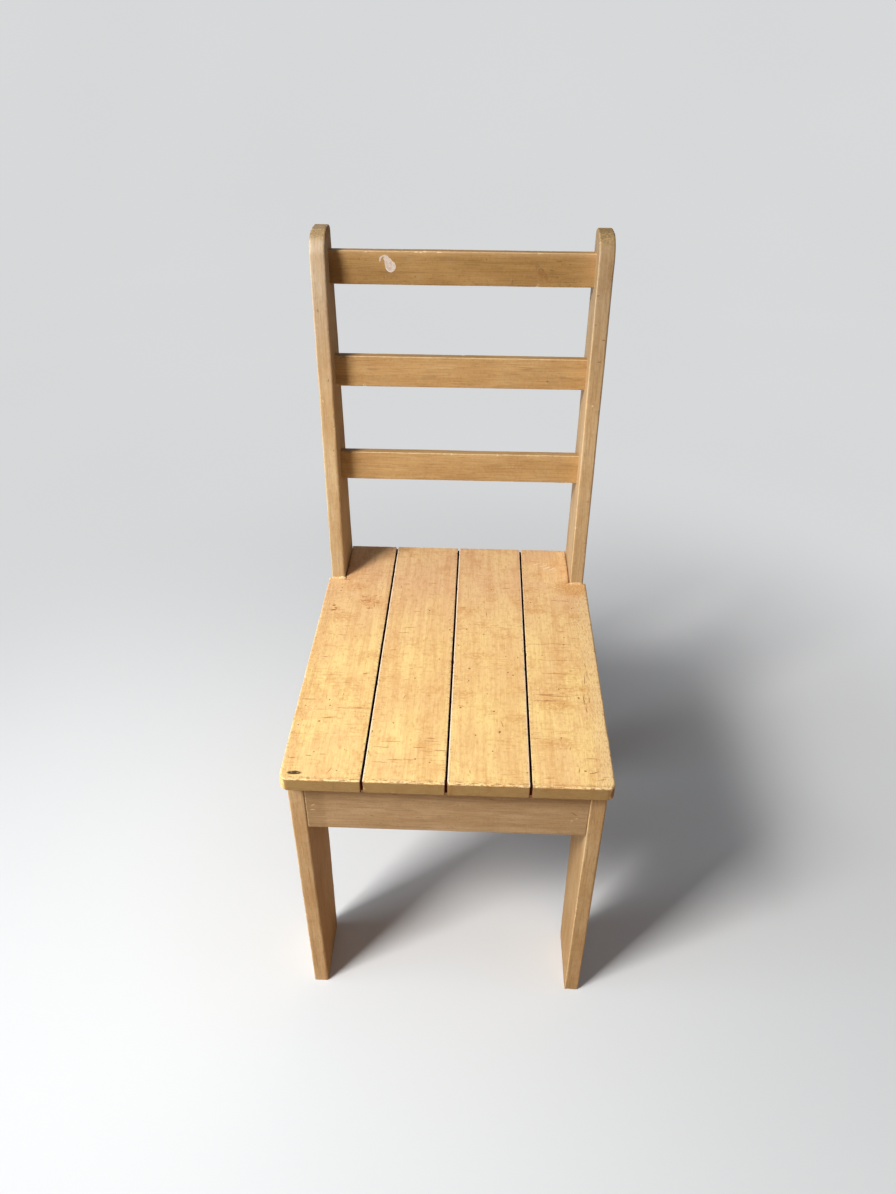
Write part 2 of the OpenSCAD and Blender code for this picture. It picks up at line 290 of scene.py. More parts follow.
class Value:
    """A socket of a finish, for arithmetic written as an expression."""

    def __init__(self, finish, socket):
        self.finish = finish
        self.socket = socket

    def maths(self, operation, *values):
        return self.finish.maths(operation, *values)

    def __add__(self, other):
        return self.maths("ADD", self, other)

    def __sub__(self, other):
        return self.maths("SUBTRACT", self, other)

    def __mul__(self, other):
        return self.maths("MULTIPLY", self, other)

    def __radd__(self, other):
        return self.maths("ADD", other, self)

    def __rsub__(self, other):
        return self.maths("SUBTRACT", other, self)

    def __rmul__(self, other):
        return self.maths("MULTIPLY", other, self)

    def max(self, other):
        return self.maths("MAXIMUM", self, other)

    def step(self, low, high):
        """Smooth step from 0 at low to 1 at high, or falling where high is below low."""
        if high < low:
            return 1 - self.step(high, low)
        settings = {"interpolation_type": "SMOOTHSTEP", "clamp": True}
        return self.finish.node("ShaderNodeMapRange", settings, {0: self, 1: low, 2: high})


class Finish:
    """A material and the nodes it is made with. Places are in mm in the chair's own frame."""

    def __init__(self, name):
        self.material = bpy.data.materials.new(name)
        self.material.use_nodes = True
        self.tree = self.material.node_tree
        self.shader = self.tree.nodes["Principled BSDF"]
        spot = self.node("ShaderNodeTexCoord", out="Object")
        self.spot = self.scaled(spot, (1 / MM,) * 3)
        self.x, self.y, self.z = self.axes(self.spot)
        self.grain = self.layer("grain", "Vector")
        self.arris = self.layer("arris", "Fac")
        self.chip = self.layer("chip", "Fac")

    def node(self, kind, settings=None, inputs=None, out=0):
        made = self.tree.nodes.new(kind)
        for key, value in (settings or {}).items():
            setattr(made, key, value)
        for key, value in (inputs or {}).items():
            if isinstance(value, Value):
                self.tree.links.new(value.socket, made.inputs[key])
            else:
                made.inputs[key].default_value = value
        return Value(self, made.outputs[out])

    def layer(self, name, out):
        return self.node("ShaderNodeAttribute", {"attribute_name": name}, out=out)

    def scaled(self, vector, factors):
        return self.node("ShaderNodeVectorMath", {"operation": "MULTIPLY"}, {0: vector, 1: factors})

    def shifted(self, vector, by):
        return self.node("ShaderNodeVectorMath", {"operation": "ADD"}, {0: vector, 1: by})

    def maths(self, operation, *values):
        return self.node("ShaderNodeMath", {"operation": operation}, dict(enumerate(values)))

    def axes(self, vector):
        split = self.node("ShaderNodeSeparateXYZ", inputs={0: vector})
        return [Value(self, split.socket.node.outputs[i]) for i in range(3)]

    def noise(self, vector, wavelengths, detail=2.0, rough=0.55, twist=0.0, colour=False):
        """Noise from 0 to 1 with features about wavelengths (x, y, z) mm long."""
        where = self.scaled(vector, [1 / w for w in wavelengths])
        return self.node("ShaderNodeTexNoise", {"normalize": True}, {
            "Vector": where, "Scale": 1.0, "Detail": detail, "Roughness": rough,
            "Distortion": twist}, out="Color" if colour else "Fac")

    def bent(self, wavelength, amounts):
        """The point pushed about by noise, by up to half of amounts (x, y, z) mm each way."""
        push = self.noise(self.spot, (wavelength,) * 3, 2, 0.6, colour=True)
        push = self.scaled(self.shifted(push, (-0.5, -0.5, -0.5)), amounts)
        return self.shifted(self.spot, push)

    def blend(self, factor, first, second, how="MIX"):
        settings = {"data_type": "RGBA", "blend_type": how, "clamp_factor": True}
        return self.node("ShaderNodeMix", settings, {0: factor, 6: first, 7: second}, out=2)

    def specks(self, vector, spacing, size, share, seed=0.0):
        """Round specks up to size mm in radius, about spacing mm apart, in a share of the cells."""
        where = self.shifted(self.scaled(vector, (1 / spacing,) * 3), (seed, seed, seed))
        cell = self.node("ShaderNodeTexVoronoi", {"feature": "F1"}, {
            "Vector": where, "Scale": 1.0, "Randomness": 1.0})
        distance = Value(self, cell.socket.node.outputs["Distance"])
        chance = self.axes(Value(self, cell.socket.node.outputs["Color"]))[0]
        radius = (chance.step(1 - share, 1.0) * 0.7 + 0.3) * (size / spacing)
        here = chance.step(1 - share - 0.001, 1 - share)
        return (radius - distance).step(0, 0.3 * size / spacing) * here

    def strokes(self, vector, marks):
        """How deep a point is in the nearest mark: 1 on its line, 0 outside it. A mark is
        (x, y, z, half length, half width, half thickness, turn in degrees about Z, or Y)."""
        found = None
        for x, y, z, long, wide, thick, turn_z, turn_y in marks:
            local = self.node("ShaderNodeMapping", {"vector_type": "TEXTURE"}, {
                "Vector": vector, "Location": (x, y, z),
                "Rotation": (0, math.radians(turn_y), math.radians(turn_z)),
                "Scale": (long, wide, thick)})
            depth = self.node("ShaderNodeTexGradient", {"gradient_type": "SPHERICAL"},
                              {"Vector": local}, out="Fac")
            found = depth if found is None else found.max(depth)
        return found

    def done(self, colour, rough, height=None, strength=0.3, distance=0.3):
        """Puts the colour, roughness and height (in mm) on the shader."""
        self.tree.links.new(colour.socket, self.shader.inputs["Base Color"])
        if isinstance(rough, Value):
            self.tree.links.new(rough.socket, self.shader.inputs["Roughness"])
        else:
            self.shader.inputs["Roughness"].default_value = rough
        if height is not None:
            bump = self.node("ShaderNodeBump", None, {
                "Height": height, "Strength": strength, "Distance": distance * MM})
            self.tree.links.new(bump.socket, self.shader.inputs["Normal"])
        return self.material


def tint(code):
    """A colour such as "#e0b468" as the linear values that a shader takes."""
    parts = [int(code[i : i + 2], 16) / 255 for i in (1, 3, 5)]
    return (*[p / 12.92 if p <= 0.04045 else ((p + 0.055) / 1.055) ** 2.4 for p in parts], 1.0)


# ---- marks: strokes strewn by seed in worn places, which are shares of a piece's box ----------

ROUND = (0.0, 0.0)


def seat_marks(seed, count, middle, spread, length, wide, turn=0.0, sway=5.0):
    """Strokes on the seat's top: middle and spread are shares of its width and depth."""
    dice = random.Random(seed)
    marks = []
    for _ in range(count):
        across, back = (m + dice.uniform(-w, w) for m, w in zip(middle, spread))
        reach = dice.uniform(*length) / 2 + wide
        marks.append((between(SEAT_LOW[0], SEAT_HIGH[0], across),
                      between(SEAT_LOW[1], SEAT_HIGH[1], back), SEAT_HEIGHT, reach,
                      wide * dice.uniform(0.9, 1.3), 4.0, turn + dice.uniform(-sway, sway), 0.0))
    return marks


def face_marks(seed, count, node, middle, spread, length, wide, turn=0.0, sway=15.0, deep=14.0):
    """Strokes on the upright front of a node, by shares of its width and height."""
    dice = random.Random(seed)
    low, high = box_mm(node)
    marks = []
    for _ in range(count):
        across, up = (m + dice.uniform(-w, w) for m, w in zip(middle, spread))
        height = between(low[2], high[2], up)
        front = post_front(max(height, SEAT_HEIGHT)) if "post" in node else low[1]
        reach = dice.uniform(*length) / 2 + wide
        marks.append((between(low[0], high[0], across), front, height, reach, deep,
                      wide, 0.0, turn + dice.uniform(-sway, sway)))
    return marks


SEAT_SCRATCHES = [
    *seat_marks(1, 15, (0.18, 0.70), (0.035, 0.035), (5, 12), 0.9, sway=90),
    *seat_marks(2, 8, (0.37, 0.10), (0.08, 0.04), (12, 40), 0.7, sway=2),
    *seat_marks(3, 5, (0.83, 0.31), (0.03, 0.02), (20, 48), 0.8, sway=2),
    *seat_marks(4, 34, (0.50, 0.45), (0.48, 0.42), (6, 24), 0.85, sway=6),
    *seat_marks(5, 12, (0.50, 0.45), (0.47, 0.42), (5, 14), 0.8, turn=80, sway=25),
    *seat_marks(6, 4, (0.82, 0.46), (0.10, 0.10), (40, 90), 0.7, sway=2),
    *seat_marks(7, 3, (0.25, 0.26), (0.10, 0.02), (28, 45), 0.8, sway=2),
]
SEAT_DARK = [
    *seat_marks(8, 5, (0.055, 0.665), (0.02, 0.012), (3, 11), 1.4, sway=12),
    *seat_marks(9, 6, (0.955, 0.33), (0.02, 0.13), (10, 32), 0.75, turn=90, sway=4),
    *seat_marks(10, 3, (0.955, 0.03), (0.03, 0.02), (8, 18), 1.0, turn=8, sway=14),
    *seat_marks(11, 44, (0.50, 0.40), (0.48, 0.38), ROUND, 1.35),
    *seat_marks(12, 8, (0.72, 0.30), (0.24, 0.28), ROUND, 2.0),
]
SEAT_BURN = seat_marks(13, 1, (0.045, 0.021), (0, 0), (17, 17), 3.0, sway=1)
SEAT_STAINS = [
    *seat_marks(14, 1, (0.18, 0.70), (0, 0), (30, 30), 18),
    *seat_marks(15, 3, (0.86, 0.72), (0.09, 0.07), (20, 36), 8),
    *seat_marks(16, 2, (0.83, 0.29), (0.01, 0.04), (40, 60), 12),
    *seat_marks(17, 12, (0.50, 0.42), (0.46, 0.40), (16, 70), 13),
]
SEAT_PALE = [
    *seat_marks(18, 4, (0.84, 0.91), (0.04, 0.03), (12, 26), 0.9, turn=28, sway=12),
    *seat_marks(19, 2, (0.88, 0.78), (0.03, 0.02), (20, 30), 0.9, turn=-20, sway=6),
    *[(joint + 2, FRONT, SEAT_HEIGHT - 4, 1.2, 3.0, 4.0, 0, 0) for joint in JOINTS[::2]],
    (SEAT_HIGH[0] - 17, FRONT, SEAT_HEIGHT - 4, 1.3, 6.0, 3.0, 0, 0),
]

SLAT_SMEARS = face_marks(21, 4, TOP_SLAT, (0.80, 0.45), (0.03, 0.1), (14, 22), 3.6, turn=65)
SLAT_MARKS = [
    *face_marks(22, 7, TOP_SLAT, (0.50, 0.50), (0.45, 0.35), ROUND, 1.4),
    *face_marks(23, 3, TOP_SLAT, (0.82, 0.55), (0.04, 0.25), (8, 12), 0.9, turn=40, sway=40),
]
SLAT_DOT = face_marks(24, 1, "back_slat_middle", (0.84, 0.30), (0, 0), ROUND, 1.9)
SLAT_PALE = face_marks(25, 5, TOP_SLAT, (0.38, 0.97), (0.06, 0.02), (1, 6), 1.2, sway=4)
POST_MARKS = {
    LEFT: face_marks(26, 3, "back_post_left", (0.6, 0.80), (0.3, 0.18), (0, 5), 1.2, turn=90),
    RIGHT: face_marks(27, 6, "back_post_right", (0.5, 0.75), (0.4, 0.21), (0, 7), 0.9),
}
POST_PALE = {
    LEFT: face_marks(28, 1, "back_post_left", (0.25, 0.77), (0, 0), (3, 3), 1.1, turn=70),
    RIGHT: face_marks(29, 1, "back_post_right", (0.45, 0.77), (0, 0), ROUND, 1.8),
}
APRON_MARKS = face_marks(30, 9, "front_apron", (0.5, 0.5), (0.46, 0.42), (0, 12), 0.9, sway=40)
APRON_PALE = [
    *face_marks(31, 3, "front_apron", (0.04, 0.45), (0.02, 0.08), (4, 7), 0.9, turn=-20, sway=20),
    *face_marks(32, 2, "front_apron", (0.96, 0.35), (0.02, 0.05), (2, 4), 1.2),
]


def peeled_patch():
    """A drop of bare filler, narrow at its top left, with a thin hook curling off it."""
    low, high = box_mm(TOP_SLAT)
    middle_x, middle_z, y = between(low[0], high[0], 0.24), between(low[2], high[2], 0.56), low[1] + 6
    drop = [(middle_x - 2.6 * i, y, middle_z + 4.8 * i, 7.4 - 1.8 * i, 14, 8.2 - 2.1 * i, 0, 0)
            for i in range(3)]
    hook = []
    for i in range(4):
        turn = math.radians(80 + 30 * i)
        hook.append((middle_x - 7.5 + 6 * math.cos(turn), y, middle_z + 7.5 + 6 * math.sin(turn),
                     2.9, 14, 1.2, 0, 90 - math.degrees(turn)))
    return drop + hook


PEELED = peeled_patch()

# ---- finishes --------------------------------------------------------------------------------


def board_grain(f):
    """The yellow paint over its grain: the colour, clouds, streaks, hairs and mottle."""
    clouds = f.noise(f.grain, (55, 90, 60), 3, 0.55)
    streaks = f.noise(f.grain, (2.6, 90, 4), 4, 0.64, 0.3)
    bands = f.noise(f.grain, (13, 260, 11), 3, 0.5, 0.4)
    hairs = f.noise(f.grain, (0.9, 34, 2), 2, 0.6)
    mottle = f.noise(f.grain, (4.2, 7, 4), 4, 0.7)
    blotches = f.noise(f.spot, (19, 24, 20), 4, 0.62)
    colour = f.blend(clouds.step(0.36, 0.66), tint("#f3ca8b"), tint("#fddb92"))
    colour = f.blend(bands.step(0.44, 0.7) * 0.55, colour, tint("#e6b474"))
    colour = f.blend(streaks.step(0.5, 0.74) * 0.42, colour, tint("#d8a162"))
    colour = f.blend(hairs.step(0.54, 0.78) * 0.3, colour, tint("#c9945a"))
    colour = f.blend(blotches.step(0.5, 0.72) * 0.5, colour, tint("#dda261"))
    colour = f.blend(mottle.step(0.51, 0.72) * 0.55, colour, tint("#cf9656"))
    colour = f.blend(streaks.step(0.46, 0.28) * 0.4, colour, tint("#ffdf9a"))
    colour = f.blend(mottle.step(0.45, 0.28) * 0.55, colour, tint("#ffe09c"))
    veins = f.noise(f.grain, (5, 90, 5), 3, 0.6, 0.6)
    veins = f.maths("ABSOLUTE", veins - 0.5).step(0.022, 0.0)
    colour = f.blend(veins * 0.3, colour, tint("#cf9150"))
    return colour, clouds, streaks, hairs, mottle


def board_wear_and_shade(f, colour, clouds):
    """Paint with wear and painted shade towards the back, with rubbed places, stains, flecks and
    specks.
    """
    # painted shade and wear: the paint is darker and cooler towards the back of the seat
    back_shade_and_wear = (f.y + clouds * 120 - 60).step(FRONT + 187.5, FRONT + 447.5)
    colour = f.blend(back_shade_and_wear, colour, tint("#f2ecff"), "MULTIPLY")
    patches = f.noise(f.spot, (55, 34, 60), 3, 0.55)
    rub = f.noise(f.spot, (18, 1.3, 20), 4, 0.7).step(0.54, 0.64) * patches.step(0.42, 0.6)
    colour = f.blend(rub * 0.62, colour, tint("#c37d3b"))
    stains = f.noise(f.spot, (11, 9, 17), 4, 0.7).step(0.56, 0.72) * patches.step(0.36, 0.56)
    colour = f.blend(stains * 0.5, colour, tint("#cf8b48"))
    flecks = f.noise(f.spot, (2.0, 2.0, 1.8), 3, 0.62).step(0.62, 0.72)
    colour = f.blend(flecks * patches.step(0.38, 0.58) * 0.6, colour, tint("#b06528"))
    fine = f.specks(f.spot, 13, 0.85, 0.4).max(f.specks(f.spot, 21, 1.15, 0.3, 4.0))
    return f.blend(fine * 0.7, colour, tint("#9c4a10"))


def board_marks(f, colour, bent, broken, low, high):
    """The strewn marks on a board between low and high: the colour, and how deep it is scratched."""
    spill = 9.0

    def here(marks):
        return [m for m in marks if low - spill < m[0] < high + spill and (
            m[0] + m[3] > low and m[0] - m[3] < high)]

    soft = f.strokes(bent, here(SEAT_STAINS)).step(0.0, 0.75)
    soft = soft * f.noise(f.spot, (5, 3, 5), 4, 0.7).step(0.4, 0.62)
    colour = f.blend(soft * 0.5, colour, tint("#c67c35"))
    fade = f.noise(f.spot, (8, 8, 8), 2, 0.5)
    scratch = f.strokes(bent, here(SEAT_SCRATCHES)) * 1.7 + broken + fade
    scratch = (scratch - 1.22).step(0.0, 0.7)
    colour = f.blend(scratch * 0.7, colour, tint("#ab5a22"))
    scuff = (f.strokes(bent, here(SEAT_DARK)) * 1.7 + broken - 0.6).step(0.2, 0.6)
    colour = f.blend(scuff * 0.86, colour, tint("#8a3d0a"))
    if here(SEAT_PALE):
        pale = (f.strokes(f.spot, here(SEAT_PALE)) * 1.6 + broken - 0.6).step(0.2, 0.6)
        colour = f.blend(pale * 0.75, colour, tint("#fff0d8"))
    return colour, scratch


def right_board_wear(f, colour, bent, broken):
    """The rubbed and rasped outer edge, the worn front corner and an amber stain."""
    side = SEAT_HIGH[0]
    rim = (f.x + f.noise(f.spot, (9, 30, 14), 3, 0.6) * 30 - 15).step(side - 28, side - 6)
    colour = f.blend(rim * 0.55, colour, tint("#f0d29c"))
    rasp = f.noise(f.spot, (1.2, 8, 3), 4, 0.72).step(0.5, 0.62) * f.x.step(side - 42, side - 14)
    colour = f.blend(rasp * 0.5, colour, tint("#b0601e"))
    corner = f.strokes(bent, [(side - 1, FRONT + 5, SEAT_HEIGHT - 11, 7, 14, 11, 0, 0)])
    colour = f.blend(corner.step(0.0, 0.4) * 0.85, colour, tint("#8c5c24"))
    amber = f.strokes(bent, [(side - 22, FRONT + 407.5, SEAT_HEIGHT, 40, 26, 9, 0, 0)])
    amber = amber.step(0.0, 0.5) * broken.step(0.3, 0.6)
    return f.blend(amber * 0.7, colour, tint("#cf8d40"))


def left_board_wear(f, colour, bent, broken, high):
    """The rasped outer edge, the burnt front corner and a crack in the front end."""
    side = SEAT_LOW[0]
    rasp = f.noise(f.spot, (1.6, 7, 3), 4, 0.74).step(0.54, 0.66) * f.x.step(side + 34, side + 10)
    colour = f.blend(rasp * 0.55, colour, tint("#9a6733"))
    burn = f.strokes(bent, SEAT_BURN).step(0.05, 0.45)
    colour = f.blend(burn * broken.step(0.3, 0.44) * 0.95, colour, tint("#36190a"))
    crack_x = between(side, high, 0.67)
    crack = f.strokes(f.spot, [(crack_x, FRONT, SEAT_HEIGHT - 11, 0.6, 9.0, 7.5, 0, 0)])
    return f.blend(crack.step(0.0, 0.4) * 0.8, colour, tint("#4a3320"))


def board_edges(f, colour, broken):
    """Rubbed arrises, grime beside them, the worn front arris, chips and bare sawn wood."""
    edge = f.arris + f.noise(f.spot, (4, 4, 4), 3, 0.62) * 2.2 - 1.1
    colour = f.blend(edge.step(1.3, 0.4) * 0.42, colour, tint("#ffe6b4"))
    grime = f.noise(f.spot, (5, 4, 6), 4, 0.72).step(0.52, 0.66) * f.arris.step(7, 1.5)
    colour = f.blend(grime * 0.62, colour, tint("#965a2a"))
    lip = f.y.step(FRONT + 7.5, FRONT + 1.5) * f.z.step(SEAT_HEIGHT - 3.5, SEAT_HEIGHT - 1.5)
    worn = f.noise(f.spot, (7, 1.6, 1.6), 4, 0.72).step(0.5, 0.6) * lip
    colour = f.blend(worn * 0.75, colour, tint("#80481f"))
    chipped = f.blend(broken.step(0.4, 0.6), tint("#f7e6c4"), tint("#a37a48"))
    colour = f.blend(f.chip * 0.6, colour, chipped)
    sawn = f.y.step(FRONT + 1.2, FRONT + 0.3) * f.z.step(SEAT_HEIGHT - 1.4, SEAT_HEIGHT - 2.8)
    sawn = sawn.max(f.z.step(UNDERSIDE + 1.0, UNDERSIDE + 0.3))
    fibre = f.noise(f.spot, (9, 9, 0.8), 3, 0.6)
    sawn_colour = f.blend(fibre.step(0.35, 0.65), tint("#80653b"), tint("#8f7347"))
    return f.blend(sawn * 0.85, colour, sawn_colour)


def board_joints(f, colour, broken, i, low, high):
    """Painted highlights on worn arrises along the joints, and painted shade inside them: the colour,
    and where the painted shade is.
    """
    # painted highlights on the worn arrises at one side of some joints
    worn_arris_highlights = [f.x.step(low + 2.1, low + 0.9)] if i in (1, 2) else []
    worn_arris_highlights += [f.x.step(high - 2.1, high - 0.9)] if i == 2 else []
    for line in worn_arris_highlights:
        line = line * f.z.step(SEAT_HEIGHT - 1.3, SEAT_HEIGHT - 0.7) * broken.step(0.22, 0.5)
        colour = f.blend(line * 0.75, colour, tint("#ffe9d2"))
    # painted shade: the arrises beside the joints darken into the gap, less so near the front
    beside = [f.maths("ABSOLUTE", f.x - joint).step(2.3, 1.6)
              for joint in JOINTS if low - 5 < joint < high + 5]
    inside = beside[0].max(beside[-1]) * f.z.step(SEAT_HEIGHT - 0.35, SEAT_HEIGHT - 1.2)
    gap_shade_colour = f.blend(f.y.step(FRONT + 11.5, FRONT + 1.5), tint("#240c02"), tint("#6a3014"))
    return f.blend(inside * 0.95, colour, gap_shade_colour), inside


def seat_finish(i, low, high):
    """The worn yellow paint of seat board i, which lies between low and high across the chair."""
    f = Finish(f"seat_paint_{i + 1}")
    bent = f.bent(8, (2.6, 2.6, 0))
    broken = f.noise(f.spot, (2.6, 2.6, 2.6), 2, 0.6)
    colour, clouds, streaks, hairs, mottle = board_grain(f)
    colour = board_wear_and_shade(f, colour, clouds)
    colour, scratch = board_marks(f, colour, bent, broken, low, high)
    if i == 3:
        colour = right_board_wear(f, colour, bent, broken)
    if i == 0:
        colour = left_board_wear(f, colour, bent, broken, high)
    colour = board_edges(f, colour, broken)
    colour, inside = board_joints(f, colour, broken, i, low, high)
    rough = 0.5 + 0.14 * streaks - 0.06 * clouds + 0.5 * inside
    height = streaks * 0.5 + hairs * 0.4 + mottle * 0.3 - scratch * 0.8 - f.chip * 0.5
    return f.done(colour, rough, height, 0.4, 0.14)


def frame_grain(f, main, pale, deep):
    """The tan paint over its grain, in three shades: the colour, clouds, streaks and hairs."""
    clouds = f.noise(f.grain, (32, 80, 35), 3, 0.55)
    streaks = f.noise(f.grain, (2.0, 80, 3), 4, 0.62, 0.3)
    bands = f.noise(f.grain, (9, 220, 9), 3, 0.5, 0.5)
    hairs = f.noise(f.grain, (0.8, 40, 1.2), 2, 0.6)
    mottle = f.noise(f.spot, (3, 3, 4), 3, 0.65)
    colour = f.blend(clouds.step(0.34, 0.68), tint(main), tint(pale))
    colour = f.blend(bands.step(0.48, 0.72) * 0.42, colour, tint(deep))
    colour = f.blend(streaks.step(0.5, 0.72) * 0.5, colour, tint(deep))
    colour = f.blend(hairs.step(0.52, 0.74) * 0.5, colour, tint(deep))
    veins = f.noise(f.grain, (4, 150, 4), 3, 0.6, 0.8)
    veins = f.maths("ABSOLUTE", veins - 0.5).step(0.03, 0.0)
    colour = f.blend(veins * 0.42, colour, f.blend(1.0, tint(deep), tint("#d8c4b4"), "MULTIPLY"))
    colour = f.blend(mottle.step(0.51, 0.72) * 0.42, colour, tint(deep))
    colour = f.blend(mottle.step(0.46, 0.28) * 0.42, colour, tint(pale))
    return colour, clouds, streaks, hairs


def post_top(f, colour, upper):
    """The tint of a post's upper part, and its worn, greyer top."""
    top = POST_HIGH[2]
    colour = f.blend(f.z.step(top - 255, top - 55), colour, upper, "MULTIPLY")
    worn = (f.z + f.noise(f.spot, (6, 6, 6), 4, 0.6) * 12 - 6).step(top - 14, top - 5)
    grey = f.blend(f.noise(f.spot, (2.6, 2.6, 2.6), 3, 0.7).step(0.38, 0.62),
                   tint("#77603f"), tint("#b3925f"))
    return f.blend(worn * 0.72, colour, grey)


def top_slat_sheen_and_wear(f, colour, broken):
    """Painted sheen at the top and right end, smears and the flaked patch: the colour and what is
    bare.
    """
    top = POST_HIGH[2]
    # painted sheen: lighter along the top of the slat and towards its right end
    painted_sheen = f.z.step(top - 36, top - 26) * 0.35 + f.x.step(INNER - 40, INNER + 3) * 0.22
    colour = f.blend(painted_sheen, colour, tint("#cda678"))
    smear = f.strokes(f.spot, SLAT_SMEARS).step(0.0, 0.7) * broken.step(0.25, 0.65)
    colour = f.blend(smear * 0.65, colour, tint("#7c5226"))
    patch = f.strokes(f.bent(6, (1.7, 0, 1.7)), PEELED)
    bare = patch.step(0.0, 0.08)
    inner = f.blend(f.noise(f.spot, (2.4, 2.4, 2.4), 4, 0.75).step(0.42, 0.62),
                    tint("#c7bab0"), tint("#b09f90"))
    inner = f.blend(patch.step(0.2, 0.02) * 0.8, inner, tint("#dcd5cf"))
    torn = f.noise(f.spot, (4, 4, 4), 3, 0.65).step(0.66, 0.56)
    return f.blend(bare * (0.84 + 0.12 * torn), colour, inner), bare


def frame_finish(name, main, pale, deep, marks=(), pale_marks=(), upper=None, sheen_and_peel=False,
                 end_grain=False):
    """The tan paint of a piece of the frame. upper tints a post's top, sheen_and_peel is the top
    slat's wear and painted sheen, and end_grain darkens the grain towards the rails' left ends."""
    f = Finish(name)
    colour, clouds, streaks, hairs = frame_grain(f, main, pale, deep)
    stains = f.noise(f.spot, (22, 22, 16), 4, 0.64).step(0.54, 0.74)
    colour = f.blend(stains * 0.3, colour, tint("#8f7a5c"))
    fine = f.specks(f.spot, 22, 0.8, 0.25, 3.0)
    colour = f.blend(fine * 0.7, colour, tint("#6f5233"))
    broken = f.noise(f.spot, (2.6, 2.6, 2.6), 2, 0.6)
    if end_grain:
        raised = f.noise(f.spot, (14, 9, 1.5), 3, 0.6) * f.x.step(37 - INNER, 17 - INNER)
        colour = f.blend(raised.step(0.3, 0.5) * 0.35, colour, tint("#7d6340"))
    if marks:
        dark = (f.strokes(f.spot, marks) * 1.6 + broken - 0.6).step(0.2, 0.65)
        colour = f.blend(dark * 0.72, colour, tint("#6a4726"))
    edge = f.arris + f.noise(f.spot, (5, 5, 5), 3, 0.6) * 2.4 - 1.2
    colour = f.blend(edge.step(1.3, 0.3) * 0.45, colour, tint("#ecd2a4"))
    rubbed = f.noise(f.spot, (4, 4, 7), 4, 0.68).step(0.6, 0.72) * f.arris.step(5, 1)
    colour = f.blend(rubbed * 0.5, colour, tint("#80603a"))
    if upper:
        colour = post_top(f, colour, upper)
    if pale_marks:
        pale_spots = (f.strokes(f.spot, pale_marks) * 1.6 + broken - 0.6).step(0.2, 0.6)
        colour = f.blend(pale_spots * 0.6, colour, tint("#ecd3a4"))
    height = streaks * 0.5 + hairs * 0.4 - f.chip * 0.5
    if sheen_and_peel:
        colour, bare = top_slat_sheen_and_wear(f, colour, broken)
        height = height - bare * 1.4
    chipped = f.blend(broken.step(0.4, 0.6), tint("#efdcb6"), tint("#8d6a3f"))
    colour = f.blend(f.chip * 0.6, colour, chipped)
    rough = 0.5 + 0.14 * streaks - 0.06 * clouds
    return f.done(colour, rough, height, 0.4, 0.14)


def bare_finish():
    f = Finish("bare_pine")
    rings = f.noise(f.spot, (160, 3.5, 6), 4, 0.6, 0.6)
    fibres = f.noise(f.spot, (60, 0.6, 0.8), 3, 0.6)
    colour = f.blend(rings.step(0.38, 0.66), tint("#d3b183"), tint("#b98f5c"))
    colour = f.blend(fibres.step(0.55, 0.75) * 0.4, colour, tint("#9c7446"))
    return f.done(colour, 0.62 + 0.12 * fibres, rings + fibres, 0.4, 0.15)


def steel_finish():
    f = Finish("screw_steel_dull")
    clouds = f.noise(f.spot, (2.5, 2.5, 2.5), 4, 0.65)
    colour = f.blend(clouds.step(0.4, 0.65), tint("#9b9c9d"), tint("#6f6a63"))
    f.shader.inputs["Metallic"].default_value = 1.0
    return f.done(colour, 0.34 + 0.3 * clouds, clouds, 0.3, 0.05)


def filler_finish(name, dull, bright):
    f = Finish(name)
    lumps = f.noise(f.spot, (2.4, 2.4, 2.4), 4, 0.65)
    colour = f.blend(lumps.step(0.35, 0.7), tint(dull), tint(bright))
    cracks = f.noise(f.spot, (1.2, 1.2, 3), 3, 0.7).step(0.66, 0.74)
    colour = f.blend(cracks * 0.6, colour, tint("#8d6a40"))
    return f.done(colour, 0.6 + 0.1 * lumps, lumps, 0.5, 0.4)


post_paint = {
    LEFT: frame_finish("left_post_paint", "#ba986c", "#c8ad84", "#a48256",
                       POST_MARKS[LEFT], POST_PALE[LEFT], upper=(0.91, 1.0, 1.25, 1.0)),
    RIGHT: frame_finish("right_post_paint", "#b9986c", "#c7aa82", "#a17e52",
                        POST_MARKS[RIGHT], POST_PALE[RIGHT], upper=(0.76, 0.77, 0.8, 1.0)),
}
slat_paint = frame_finish("slat_paint", "#b38b58", "#c09b68", "#97713f", SLAT_DOT)
top_slat_paint = frame_finish("top_slat_paint", "#96713e", "#a4804c", "#7b5a2b",
                              SLAT_MARKS, SLAT_PALE, sheen_and_peel=True)
leg_paint = {
    LEFT: frame_finish("left_leg_paint", "#bf9b6d", "#cbad83", "#a48153"),
    RIGHT: frame_finish("right_leg_paint", "#b79466", "#c3a57a", "#9a7a4e"),
}
rail_paint = frame_finish("rail_paint", "#ae9068", "#bb9f7a", "#937450",
                          APRON_MARKS, APRON_PALE, end_grain=True)
bare_wood = bare_finish()
steel = steel_finish()
filler = filler_finish("joint_filler_old", "#d2aa70", "#f0d8a8")
plug_filler = filler_finish("plug_filler_old", "#b8935f", "#cfb083")


# ---- seat boards -----------------------------------------------------------------------------

